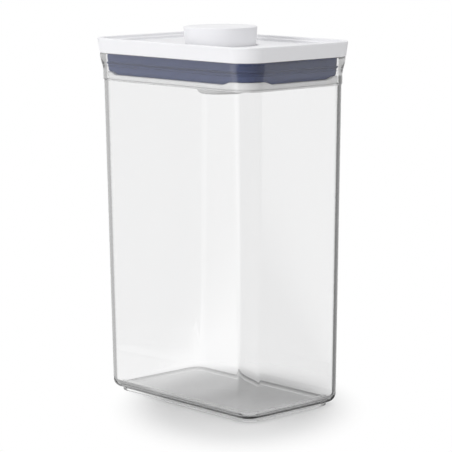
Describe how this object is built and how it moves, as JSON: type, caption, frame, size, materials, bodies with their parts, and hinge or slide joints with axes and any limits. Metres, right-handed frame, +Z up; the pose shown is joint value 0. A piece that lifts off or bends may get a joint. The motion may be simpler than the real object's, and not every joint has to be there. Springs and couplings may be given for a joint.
{
  "type": "airtight push-button jar",
  "caption": "Clear tapered rectangular jar with a white lift-off lid; its round push button spreads a silicone seal against the inside of the jar to close it airtight.",
  "frame": {"origin": "middle of the foot ring, on the surface that the jar stands on", "axes": "+Z up, +X along the long side of the plan, -Y towards the front"},
  "size_m": [0.16, 0.101, 0.2526],
  "materials": {
    "clear_plastic": "clear, polished",
    "white_plastic": "satin moulded",
    "seal_silicone": "matt silicone",
    "pale_plastic": "fine matt moulded",
    "acetal": "smooth moulded",
    "spring_steel": "drawn wire"
  },
  "bodies": {
    "jar": {"jar": "clear_plastic"},
    "lid": {"lid_cover": "white_plastic", "gasket": "seal_silicone", "lid_base": "pale_plastic", "spring_cup": "pale_plastic", "latch_wire": "spring_steel", "return_spring": "spring_steel"},
    "button": {"push_button": "white_plastic", "button_core": "acetal"},
    "pusher_front": {"pusher_front": "acetal"},
    "pusher_rear": {"pusher_rear": "acetal"},
    "pusher_left": {"pusher_left": "acetal"},
    "pusher_right": {"pusher_right": "acetal"}
  },
  "joints": [
    {"name": "lid_lift", "type": "slide", "parent": "jar", "child": "lid", "axis": [0, 0, 1], "range_m": [0, 0.12]},
    {"name": "button_press", "type": "slide", "parent": "lid", "child": "button", "axis": [0, 0, -1], "range_m": [0, 0.0132], "stiffness_N_per_m": 400, "springref_m": -0.01, "deforming": ["return_spring", "latch_wire", "gasket"]},
    {"name": "front_push", "type": "slide", "parent": "lid", "child": "pusher_front", "axis": [0, -1, 0], "range_m": [0, 0.0011]},
    {"name": "rear_push", "type": "slide", "parent": "lid", "child": "pusher_rear", "axis": [0, 1, 0], "range_m": [0, 0.0011]},
    {"name": "left_push", "type": "slide", "parent": "lid", "child": "pusher_left", "axis": [-1, 0, 0], "range_m": [0, 0.0011]},
    {"name": "right_push", "type": "slide", "parent": "lid", "child": "pusher_right", "axis": [1, 0, 0], "range_m": [0, 0.0011]}
  ],
  "couplings": [
    {"joint": "front_push", "follows": "button_press", "ratio": 0.08},
    {"joint": "rear_push", "follows": "button_press", "ratio": 0.08},
    {"joint": "left_push", "follows": "button_press", "ratio": 0.08},
    {"joint": "right_push", "follows": "button_press", "ratio": 0.08}
  ]
}
